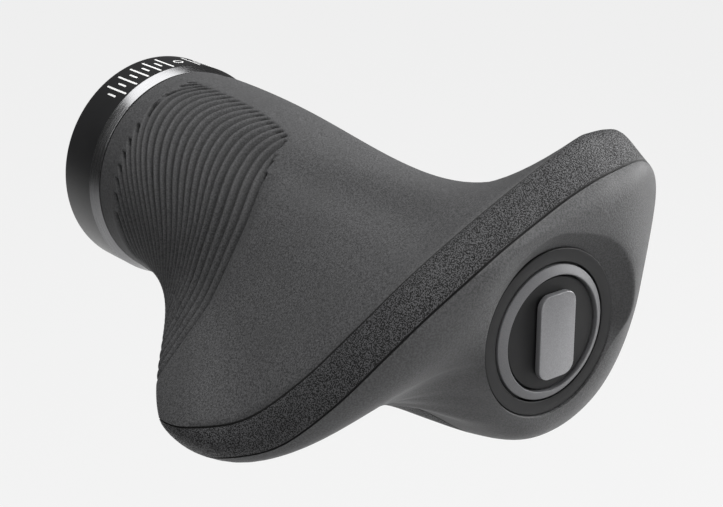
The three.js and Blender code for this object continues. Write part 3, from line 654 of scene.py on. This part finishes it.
def rubber_rows(settings, columns):
    """The rows of the rubber's grid, and for each the kind of surface from it to the next and how much
    painted shade it gets.

    The columns are closest where the grooves start.
    """
    even = np.arange(columns) / columns
    t = even - 0.45 * np.sin(2 * np.pi * (even - 0.05)) / (2 * np.pi)

    def around(part):
        return loop([station[part] for station in STATIONS], t)

    def directions(part):
        angles = np.radians([station[part] for station in STATIONS])
        return unit(loop(np.stack([angles * 0, -np.sin(angles), np.cos(angles)], 1), t))

    def circle(direction, x, radius):
        points = direction * radius
        points[:, 0] = x
        return points

    at_clamp = directions(0)
    at_rim = directions(1)
    lead = loop([(station[2], 0, 0) for station in STATIONS], t)
    lip = around(3)
    lines = np.clip(loop([(station[4], 0, 0) for station in STATIONS], t)[:, :1], 0, 1)
    from_lip = np.array([LIP_X, 0, 0])
    inner = around(5) + from_lip
    outer = around(7) + from_lip
    pull = around(6)
    face = around(8)
    start = circle(at_clamp, SKIN_START, SKIN_RADIUS)
    skin = (start, start + lead, inner - pull, inner)
    width = np.linalg.norm(outer - inner, axis=1, keepdims=True) * 0.3
    band = (inner, inner + unit(pull) * width, outer - unit(face) * width, outer)
    dish_out = circle(at_rim, DISH_X + lip[:, 0], DISH_RADIUS + lip[:, 1:2])

    # The hollow round the plug. Its floor rises from the plug to an edge that is widest towards the front.
    hollow = lip[:, 2:]
    hollowness = eased(hollow / 2.4)[:, 0]
    edge = circle(at_rim, LIP_X + 0.04 + 0.78 * hollowness, PLUG_RADIUS + hollow * 1.15)
    floor = circle(at_rim, LIP_X - 0.02 - 0.4 * hollowness, LIP_RADIUS + 0.1)
    slope = circle(at_rim, LIP_X + 0.02 + 0.5 * hollowness, PLUG_RADIUS + hollow * 0.9)
    end = (outer, outer + face, dish_out, edge)
    roll = edge + unit(edge - dish_out) * hollow * 0.15
    bowl = (edge, roll, slope, floor)

    def outward(curves, share):
        across = bezier([np.roll(c, -1, 0) - np.roll(c, 1, 0) for c in curves], share)
        return unit(np.cross(across, bezier_slope(curves, share)))

    rows = []
    none = np.zeros(columns)

    # Each row keeps its points, its kind of surface and its share of painted shade.
    def add_row(points, kind, sunk_and_painted_shade=none):
        rows.append((points, kind, sunk_and_painted_shade))

    # The seat on the sleeve's collar, the rounded inboard edge and the plain ring before the skin.
    collar_end = SLEEVE_START + COLLAR_LENGTH + SEAT_GAP
    for x, radius in (
        (collar_end, SLEEVE_RADIUS + SEAT_GAP), (collar_end, COLLAR_RADIUS + SEAT_GAP),
        (RUBBER_START, COLLAR_RADIUS + SEAT_GAP),
    ):
        add_row(circle(at_clamp, x, radius), "inside")
    for k in range(5):
        a = math.pi / 2 * k / 4
        x = RUBBER_START + RUBBER_EDGE_ROUND * (1 - math.cos(a))
        radius = RUBBER_RADIUS - RUBBER_EDGE_ROUND + RUBBER_EDGE_ROUND * math.sin(a)
        add_row(circle(at_clamp, x, radius), "skin")
    for before_skin, swell in ((0.7, 0.02), (0.25, 0.12)):
        x, radius = SKIN_START - before_skin, RUBBER_RADIUS + swell
        add_row(circle(at_clamp, x, radius), "skin")

    # The ribbed skin. Each row of a groove is looked up on every column by the x at which it crosses it.
    samples = np.linspace(0, 1, SKIN_SAMPLES)
    points = np.stack([bezier(skin, s) for s in samples])
    along = points[..., 0]
    angles = angle_from_top(points)
    depth = settings.groove_depth / MM

    def skin_row(x_wanted, share_of_depth, young=0):
        ahead = along - x_wanted
        index = np.clip(np.argmax(ahead > 0, axis=0), 1, len(samples) - 1)
        column = np.arange(columns)
        low, high = ahead[index - 1, column], ahead[index, column]
        step = samples[index] - samples[index - 1]
        share = samples[index - 1] + step * np.clip(-low / (high - low), 0, 1)
        place = bezier(skin, share)
        angle = angle_from_top(place)
        sunk_and_painted_shade = share_of_depth * groove_ends(place[:, 0], angle)
        past_start = (angle - groove_top(place[:, 0])) / DEEP_END_ANGLE
        near_end = np.maximum(young, 1 - np.clip(past_start, 0, 1))
        # Painted shade for the grooves: their share of depth, at full strength close to each groove's start.
        shadow = sunk_and_painted_shade * (0.55 + 0.45 * (near_end > 0.2))
        drop = depth * sunk_and_painted_shade * (1 + 0.4 * near_end)
        add_row(place - outward(skin, share) * drop[:, None], "skin", shadow)

    add_row(start, "skin")
    numbers = range(FIRST_GROOVE, LAST_GROOVE + 1)
    total = len(numbers) * len(GROOVE_SECTION)
    done = 0
    for number in numbers:
        middle = groove_x(number, angles)
        present = np.clip((middle - FAN_START_X) / 0.2, 0, 1)
        for place, share in GROOVE_SECTION:
            done += 1
            wanted = groove_x(number + place - 0.5, angles)
            wanted = np.maximum(wanted, FAN_START_X - 0.4 + 0.4 * done / total)
            where = np.argmax(along - wanted > 0, axis=0), np.arange(columns)
            young = 1 - np.clip((middle[where] - FAN_START_X) / 0.9, 0, 1)
            skin_row(wanted, share * present[where], young)
    last = groove_x(LAST_GROOVE + 0.5, angles)
    first_plain = np.argmax(along - last > 0, axis=0) / (len(samples) - 1)
    half = settings.line_width / MM / 2

    def half_line(handle):
        return half / (3 * np.linalg.norm(handle, axis=1))

    plain_end = 1 - half_line(pull)
    for k in range(1, PLAIN_SKIN_STEPS + 1):
        share = first_plain + (plain_end - first_plain) * k / PLAIN_SKIN_STEPS
        add_row(bezier(skin, share), "skin")

    # The textured band between its two edge lines.
    line_depth = settings.line_depth / MM
    into_band = unit(pull) * width
    out_of_band = unit(face) * width

    def add_line(before, share_before, after, share_after):
        for part in (0.45, 0):
            share = 1 - (1 - share_before) * part
            drop = lines * line_depth * (1 - 0.3 * (part > 0))
            add_row(bezier(before, share) - outward(before, share) * drop, "line")
        share = share_after * 0.45
        add_row(bezier(after, share) - outward(after, share) * lines * line_depth * 0.7, "line")

    rows[-1] = (rows[-1][0], "line", rows[-1][2])
    band_start = half_line(into_band)
    band_end = 1 - half_line(out_of_band)
    face_start = half_line(face)
    add_line(skin, plain_end, band, band_start)
    for k in range(BAND_STEPS + 1):
        share = band_start + (band_end - band_start) * k / BAND_STEPS
        add_row(bezier(band, share), "band" if k < BAND_STEPS else "line")
    add_line(band, band_end, end, face_start)

    # The end face, the hollow round the plug and the lip that grips it.
    for k in range(END_STEPS + 1):
        add_row(bezier(end, face_start + (1 - face_start) * k / END_STEPS), "end")
    for k in range(1, BOWL_STEPS + 1):
        # Painted shade in the hollow round the plug, growing with how deep the hollow is.
        add_row(bezier(bowl, k / BOWL_STEPS), "end", 0.4 * hollowness * min(1, k / 3))
    for x, radius in (
        (LIP_X - 0.45, LIP_RADIUS), (LIP_BACK, LIP_RADIUS), (LIP_BACK, SLEEVE_RADIUS + SEAT_GAP),
    ):
        add_row(circle(at_rim, x, radius), "inside")
    return rows


SURFACES = ("inside", "skin", "line", "band", "end")


class GRIP_OT_rubber(bpy.types.Operator):
    """Builds the moulded rubber body with its ribs, palm wing, textured band and dished end"""

    bl_idname = "grip.rubber"
    bl_label = "Rubber body"

    def execute(self, context):
        settings = context.scene.grip_rubber
        columns = RUBBER_COLUMNS
        rows = rubber_rows(settings, columns)
        nothing_selected()
        bpy.ops.mesh.primitive_grid_add(x_subdivisions=columns, y_subdivisions=len(rows), size=1)
        piece = new_object("rubber_body")
        mesh = piece.data
        places = np.stack([points for points, _, _ in rows] + [rows[0][0]])
        places = np.concatenate([places, places[:, :1]], 1) * MM
        # Each vertex's share of painted shade, stored as an attribute that the rubber's materials read.
        sunk_and_painted_shade = np.stack([depth for _, _, depth in rows] + [rows[0][2]])
        sunk_and_painted_shade = np.concatenate([sunk_and_painted_shade, sunk_and_painted_shade[:, :1]], 1)
        if len(mesh.vertices) != places.shape[0] * places.shape[1]:
            raise RuntimeError("the grid does not have the rubber's rows and columns")
        mesh.vertices.foreach_set("co", places.astype(np.float32).ravel())
        attribute = mesh.attributes.new("sunk_and_painted_shade", "FLOAT", "POINT")
        attribute.data.foreach_set("value", sunk_and_painted_shade.astype(np.float32).ravel())
        kinds = [SURFACES.index(kind) for _, kind, _ in rows]
        mesh.polygons.foreach_set("material_index", np.repeat(kinds, columns).astype(np.int32))
        only(piece)
        bpy.ops.object.mode_set(mode="EDIT")
        bpy.ops.mesh.select_all(action="SELECT")
        bpy.ops.mesh.remove_doubles(threshold=0.0005 * MM)
        bpy.ops.mesh.normals_make_consistent(inside=False)
        bpy.ops.object.mode_set(mode="OBJECT")
        for material in (
            rubber_material("moulded_rubber_inside", settings.band_colour, 0.4, 0.02),
            # The skin and the end face carry painted shade in their grooves and hollow.
            rubber_material("moulded_rubber_skin", settings.skin_colour, 0.24, 0.05, painted_valley_shade=0.95),
            rubber_material("moulded_rubber_edge_line", settings.line_colour, 0.3, 0.02),
            stippled_rubber("stippled_rubber_band", settings.band_colour),
            rubber_material("moulded_rubber_end_face", settings.end_colour, 0.24, 0.05, 0.62, painted_valley_shade=0.9),
        ):
            mesh.materials.append(material)
        finish_piece(piece, None, "grip_rubber", "grip_rubber", smooth=60)
        return {"FINISHED"}


class GRIP_OT_clamp_ring(bpy.types.Operator):
    """Builds the clamp ring with its slit and screw pocket, and the scale printed on it"""

    bl_idname = "grip.clamp_ring"
    bl_label = "Clamp ring"

    def execute(self, context):
        settings = context.scene.grip_hardware
        ring = turned("clamp_ring_body", rounded((
            (0, BORE_RADIUS + 0.4, 0),
            (0, CLAMP_RADIUS, 0.45),
            (CLAMP_LENGTH - CLAMP_CHAMFER_LENGTH, CLAMP_RADIUS, 0.25),
            (CLAMP_LENGTH, CLAMP_FACE_RADIUS, 0.2),
            (CLAMP_LENGTH, TOOTH_SEAT_RADIUS, 0.15),
            (CLAMP_LENGTH - TOOTH_SEAT_DEPTH, TOOTH_SEAT_RADIUS, 0),
            (CLAMP_LENGTH - TOOTH_SEAT_DEPTH, BORE_RADIUS, 0),
            (0.4, BORE_RADIUS, 0),
        )))
        slit = block("slit", (2 * CLAMP_LENGTH, SLIT_WIDTH, 8), (CLAMP_LENGTH / 2, 0, CLAMP_RADIUS - 2))
        middle = (SCREW_AXIS_X, 0, SCREW_AXIS_RADIUS)
        hole = round_bar("screw_hole", SCREW_RADIUS + SCREW_PLAY, SCREW_LENGTH + SCREW_PLAY, middle)
        depth = 16
        middle = (SCREW_AXIS_X, SCREW_LENGTH / 2 - SCREW_PLAY + depth / 2, SCREW_AXIS_RADIUS)
        pocket = round_bar("screw_pocket", SCREW_HEAD_RADIUS + SCREW_PLAY, depth, middle, 64)
        for tool in (slit, hole, pocket):
            combine(ring, turn_about_bar(tool, SLIT_ANGLE), "DIFFERENCE")
        material = anodised_material("black_anodised_aluminium", settings.ring_colour, 0.36)
        finish_piece(ring, material, "anodised_aluminium", "clamp_ring")
        ring.data.materials.append(machined_material("machined_chamfer", settings.chamfer_colour))
        for face in ring.data.polygons:
            radius = math.hypot(face.center.y, face.center.z) / MM
            face.material_index = int(radius > CLAMP_FACE_RADIUS and 0.2 < face.normal.x < 0.7)
        ink = ink_material("white_printed_ink", settings.mark_colour)
        width = settings.mark_width / MM
        for half, side, centre in (("rear", 1, 0), ("front", -1, FRONT_HALF_ANGLE)):
            for i in range(MARKS_PER_HALF):
                for kind, first, (from_x, to_x) in MARK_KINDS:
                    angle = centre + side * (first + MARK_STEP * i)
                    print_mark(f"scale_{half}_{kind}_{i + 1}", from_x, to_x, angle, width, ink)
        print_circle("scale_circle", CIRCLE_X, CIRCLE_ANGLE, CIRCLE_RADIUS, CIRCLE_LINE_WIDTH, ink)
        return {"FINISHED"}


def print_mark(name, from_x, to_x, angle, width, ink):
    """A printed stroke along the bar with round ends, standing a hair's breadth off the clamp ring."""
    nothing_selected()
    length = to_x - from_x - width
    bpy.ops.mesh.primitive_cylinder_add(
        vertices=24, radius=width / 2 * MM, depth=0.06 * MM,
        location=((from_x + to_x) / 2 * MM, 0, (CLAMP_RADIUS - 0.008) * MM),
    )
    mark = settle(new_object(name))
    middle = (from_x + to_x) / 2 * MM
    for vertex in mark.data.vertices:
        vertex.co.x += math.copysign(length / 2 * MM, vertex.co.x - middle)
    turn_about_bar(mark, angle)
    finish_piece(mark, ink, "anodised_aluminium")


def print_circle(name, x, angle, radius, width, ink):
    """A printed ring that follows the clamp ring's round surface."""
    nothing_selected()
    bpy.ops.mesh.primitive_torus_add(
        major_radius=radius * MM, minor_radius=width / 2 * MM, major_segments=48, minor_segments=10,
        location=(x * MM, 0, 0),
    )
    mark = settle(new_object(name))
    for vertex in mark.data.vertices:
        flat = vertex.co.z * 0.15
        height = CLAMP_RADIUS * MM + flat
        turn = vertex.co.y / height
        vertex.co.y = height * math.sin(turn)
        vertex.co.z = height * math.cos(turn)
    turn_about_bar(mark, angle)
    finish_piece(mark, ink, "anodised_aluminium", smooth=60)


class GRIP_OT_clamp_screw(bpy.types.Operator):
    """Builds the socket-head screw that closes the clamp ring"""

    bl_idname = "grip.clamp_screw"
    bl_label = "Clamp screw"

    def execute(self, context):
        settings = context.scene.grip_hardware
        def across_slit(name, radius, length, middle, sides=48):
            return round_bar(name, radius, length, (SCREW_AXIS_X, middle, SCREW_AXIS_RADIUS), sides)

        shank = across_slit("clamp_screw_body", SCREW_RADIUS, SCREW_LENGTH, 0)
        head_middle = SCREW_LENGTH / 2 + SCREW_HEAD_LENGTH / 2 - 0.01
        head = across_slit("head", SCREW_HEAD_RADIUS, SCREW_HEAD_LENGTH, head_middle, 64)
        head_end = SCREW_LENGTH / 2 + SCREW_HEAD_LENGTH
        socket = across_slit("socket", HEX_ACROSS_FLATS / math.sqrt(3), 2 * HEX_DEPTH, head_end, 6)
        combine(shank, head, "UNION")
        combine(shank, socket, "DIFFERENCE")
        soften(shank, 0.12)
        turn_about_bar(shank, SLIT_ANGLE)
        material = anodised_material("black_oxide_steel", settings.screw_colour, 0.4)
        material.node_tree.nodes["Principled BSDF"].inputs["Metallic"].default_value = 1
        finish_piece(shank, material, "black_steel", "clamp_screw")
        return {"FINISHED"}


class GRIP_OT_sleeve(bpy.types.Operator):
    """Builds the hard sleeve under the rubber, with the teeth that lock into the clamp ring"""

    bl_idname = "grip.sleeve"
    bl_label = "Sleeve"

    def execute(self, context):
        settings = context.scene.grip_hardware
        collar_end = SLEEVE_START + COLLAR_LENGTH
        sleeve = turned("sleeve_body", rounded((
            (SLEEVE_START, BORE_RADIUS, 0.2),
            (SLEEVE_START, COLLAR_RADIUS, 0.15),
            (collar_end, COLLAR_RADIUS, 0.15),
            (collar_end, SLEEVE_RADIUS, 0),
            (SLEEVE_END, SLEEVE_RADIUS, 0.2),
            (SLEEVE_END, BORE_RADIUS, 0.2),
        )))
        tooth_start = CLAMP_LENGTH - TOOTH_SEAT_DEPTH + SEAT_GAP
        for i in range(TOOTH_COUNT):
            ring = turned("tooth", rounded((
                (tooth_start, BORE_RADIUS, 0.15),
                (tooth_start, TOOTH_SEAT_RADIUS - SEAT_GAP, 0.15),
                (SLEEVE_START + COLLAR_LENGTH / 2, TOOTH_SEAT_RADIUS - SEAT_GAP, 0),
                (SLEEVE_START + COLLAR_LENGTH / 2, BORE_RADIUS, 0),
            )))
            middle = (tooth_start + 4, 0, CLAMP_RADIUS / 2)
            keep = block("keep", (CLAMP_LENGTH, TOOTH_WIDTH, CLAMP_RADIUS), middle)
            angle = SLIT_ANGLE + 360 / TOOTH_COUNT * (i + 0.5)
            combine(ring, turn_about_bar(keep, angle), "INTERSECT")
            combine(sleeve, ring, "UNION")
        material = moulded_plastic("moulded_nylon", settings.sleeve_colour, 0.55, 0.3, 0.01)
        finish_piece(sleeve, material, "sleeve_nylon", "core_sleeve")
        return {"FINISHED"}


class GRIP_OT_end_cap(bpy.types.Operator):
    """Builds the end plug, its trim ring, the disc inside it and the plain raised plate"""

    bl_idname = "grip.end_cap"
    bl_label = "End cap"

    def execute(self, context):
        settings = context.scene.grip_hardware
        skirt = BORE_RADIUS - SEAT_GAP
        skirt_end = SLEEVE_END - PLUG_SKIRT_LENGTH
        back = PLUG_FACE_X - PLUG_THICKNESS
        seat = TRIM_OUTER_RADIUS + SEAT_GAP
        plug = turned("plug_body", rounded((
            (TRIM_SEAT_X, 0, 0),
            (TRIM_SEAT_X, seat, 0),
            (PLUG_FACE_X - 0.06, seat, 0.15),
            (PLUG_FACE_X, PLUG_RADIUS, 0.18),
            (LIP_BACK, PLUG_RADIUS, 0),
            (LIP_BACK, skirt, 0),
            (skirt_end, skirt, 0.2),
            (skirt_end, skirt - PLUG_WALL, 0.2),
            (back, skirt - PLUG_WALL, 0),
            (back, 0, 0),
        )))
        material = moulded_plastic("satin_moulded_plastic", settings.plug_colour, 0.45, gloss=0.25)
        finish_piece(plug, material, "plug_plastic", "end_plug")
        trim = turned("trim_ring_body", rounded((
            (TRIM_SEAT_X + SEAT_GAP, TRIM_INNER_RADIUS, 0),
            (TRIM_SEAT_X + SEAT_GAP, TRIM_OUTER_RADIUS, 0),
            (PLUG_FACE_X, TRIM_OUTER_RADIUS, 0.15),
            (TRIM_TOP_X, TRIM_INNER_RADIUS, 0.12),
        )))
        material = painted_material("satin_grey_paint", settings.trim_colour, 0.55, 0.1)
        finish_piece(trim, material, "trim_grey", "trim_ring")
        disc_radius = TRIM_INNER_RADIUS - SEAT_GAP
        disc = turned("disc_body", rounded((
            (DISC_X - DISC_THICKNESS, 0, 0),
            (DISC_X - DISC_THICKNESS, disc_radius, 0),
            (DISC_X, disc_radius, 0.15),
            (DISC_X, 0, 0),
        )))
        material = moulded_plastic("fine_matt_plastic", settings.disc_colour, 0.6, gloss=0.25)
        finish_piece(disc, material, "disc_plastic", "badge_disc")
        plate = rounded_plate(
            "plate_body", PLATE_HEIGHT, PLATE_WIDTH, PLATE_CORNER, DISC_X + SEAT_GAP, PLATE_TOP_X
        )
        material = painted_material("satin_plate_paint", settings.plate_colour, 0.36)
        finish_piece(plate, material, "plate_grey", "badge_plate")
        return {"FINISHED"}


def rounded_plate(name, height, width, corner, from_x, to_x):
    """A flat plate with round corners and softened edges, square to the bar."""
    plate = block(name, (to_x - from_x, width, height), ((from_x + to_x) / 2, 0, 0))
    only(plate)
    bpy.ops.object.mode_set(mode="EDIT")
    bpy.ops.mesh.select_mode(type="EDGE")
    bpy.ops.mesh.select_all(action="DESELECT")
    bpy.ops.object.mode_set(mode="OBJECT")
    for edge in plate.data.edges:
        a, b = (plate.data.vertices[v].co for v in edge.vertices)
        edge.select = abs(a.x - b.x) > 0.1 * MM
    bpy.ops.object.mode_set(mode="EDIT")
    bpy.ops.mesh.bevel(offset=corner * MM, segments=10, affect="EDGES")
    bpy.ops.object.mode_set(mode="OBJECT")
    return soften(plate, 0.14)


class GRIP_OT_stage(bpy.types.Operator):
    """Builds the paper floor, the softboxes and the camera"""

    bl_idname = "grip.stage"
    bl_label = "Studio"

    def execute(self, context):
        settings = context.scene.grip_stage
        nothing_selected()
        bpy.ops.mesh.primitive_plane_add(size=3, location=(0.05, 0, -settings.floor_drop))
        floor = new_object("paper_floor")
        floor.data.materials.append(floor_material("matt_paper", settings.floor_colour, settings.background))
        power = settings.lamp_power
        aim = Vector(SOFTBOX_AIM) * MM
        for name, place, size, share in SOFTBOXES:
            add_softbox(name, Vector(place) * MM, aim, size, power * share)
        world = bpy.data.worlds.new("studio")
        context.scene.world = world
        world.use_nodes = True
        light_world(world.node_tree, settings.background)
        data = bpy.data.cameras.new("camera")
        camera = bpy.data.objects.new("camera", data)
        context.scene.collection.objects.link(camera)
        data.sensor_width = 36
        data.lens = CAMERA_LENS
        data.clip_start = 0.01
        data.clip_end = 10
        camera.location = Vector(CAMERA_PLACE) * MM
        camera.rotation_euler = Vector(CAMERA_AHEAD).to_track_quat("-Z", "Y").to_euler()
        context.scene.camera = camera
        context.scene.view_settings.view_transform = "Standard"
        return {"FINISHED"}


def add_softbox(name, place, aim, size, power):
    data = bpy.data.lights.new(name, "AREA")
    data.shape = "SQUARE"
    data.size = size
    data.energy = power
    lamp = bpy.data.objects.new(name, data)
    lamp.location = place
    lamp.rotation_euler = (aim - place).to_track_quat("-Z", "Y").to_euler()
    bpy.context.scene.collection.objects.link(lamp)
    return lamp


def light_world(tree, background):
    """An even grey room for the light, and the backdrop's own colour for the camera."""
    tree.nodes.clear()
    path = add(tree, "ShaderNodeLightPath")
    room = add(tree, "ShaderNodeBackground", {"Color": linear("#ffffff"), "Strength": 0.09})
    seen = add(tree, "ShaderNodeBackground", {"Color": tuple(background), "Strength": 1})
    mixed = add(
        tree, "ShaderNodeMixShader",
        {0: path.outputs["Is Camera Ray"], 1: room.outputs[0], 2: seen.outputs[0]},
    )
    add(tree, "ShaderNodeOutputWorld", {"Surface": mixed.outputs[0]})


def floor_material(name, colour, background):
    """Seamless white paper. The camera sees nearly all backdrop colour, and a trace of the shadow."""
    material, tree, shader, where = blank_material(name)
    fibres = add(tree, "ShaderNodeTexNoise", grain(where, 1.5, 3)).outputs["Fac"]
    tint = mottle(tree, fibres, 0.35, 0.65, shade(colour, 0.985), tuple(colour))
    feed(tree, shader, {"Base Color": tint, "Roughness": 0.9, "Specular IOR Level": 0.1})
    path = add(tree, "ShaderNodeLightPath")
    dim = add(tree, "ShaderNodeBsdfDiffuse", {"Color": linear("#8c8c8c")})
    paper = add(
        tree, "ShaderNodeMixShader",
        {0: path.outputs["Is Diffuse Ray"], 1: shader.outputs[0], 2: dim.outputs[0]},
    )
    glow = add(tree, "ShaderNodeEmission", {"Color": tuple(background), "Strength": 1})
    limits = {"From Min": 0, "From Max": 1, "To Min": 0, "To Max": 0.96}
    share = add(tree, "ShaderNodeMapRange", {"Value": path.outputs["Is Camera Ray"], **limits})
    mixed = add(tree, "ShaderNodeMixShader", {0: share.outputs[0], 1: paper.outputs[0], 2: glow.outputs[0]})
    feed(tree, tree.nodes["Material Output"], {"Surface": mixed.outputs[0]})
    return material


class GRIP_PT_panel(bpy.types.Panel):
    """Lists the pieces and the studio"""

    bl_label = "Handlebar grip"
    bl_idname = "GRIP_PT_panel"
    bl_space_type = "VIEW_3D"
    bl_region_type = "UI"
    bl_category = "Grip"

    def draw(self, context):
        scene = context.scene
        for settings in (scene.grip_rubber, scene.grip_hardware, scene.grip_stage):
            box = self.layout.box()
            for name in settings.bl_rna.properties.keys():
                if name not in ("rna_type", "name"):
                    box.prop(settings, name)
        for operator in OPERATORS:
            self.layout.operator(operator.bl_idname)


SETTINGS = {
    "grip_rubber": GripRubberSettings,
    "grip_hardware": GripHardwareSettings,
    "grip_stage": GripStageSettings,
}
OPERATORS = (
    GRIP_OT_rubber,
    GRIP_OT_clamp_ring,
    GRIP_OT_clamp_screw,
    GRIP_OT_sleeve,
    GRIP_OT_end_cap,
    GRIP_OT_stage,
)
CLASSES = (*SETTINGS.values(), *OPERATORS, GRIP_PT_panel)


def register():
    for cls in CLASSES:
        bpy.utils.register_class(cls)
    for name, cls in SETTINGS.items():
        setattr(bpy.types.Scene, name, bpy.props.PointerProperty(type=cls))


def unregister():
    for name in SETTINGS:
        delattr(bpy.types.Scene, name)
    for cls in reversed(CLASSES):
        bpy.utils.unregister_class(cls)


def main():
    """Builds every piece and the studio."""
    register()
    bpy.ops.grip.rubber()
    bpy.ops.grip.clamp_ring()
    bpy.ops.grip.clamp_screw()
    bpy.ops.grip.sleeve()
    bpy.ops.grip.end_cap()
    bpy.ops.grip.stage()


if __name__ == "__main__":
    main()
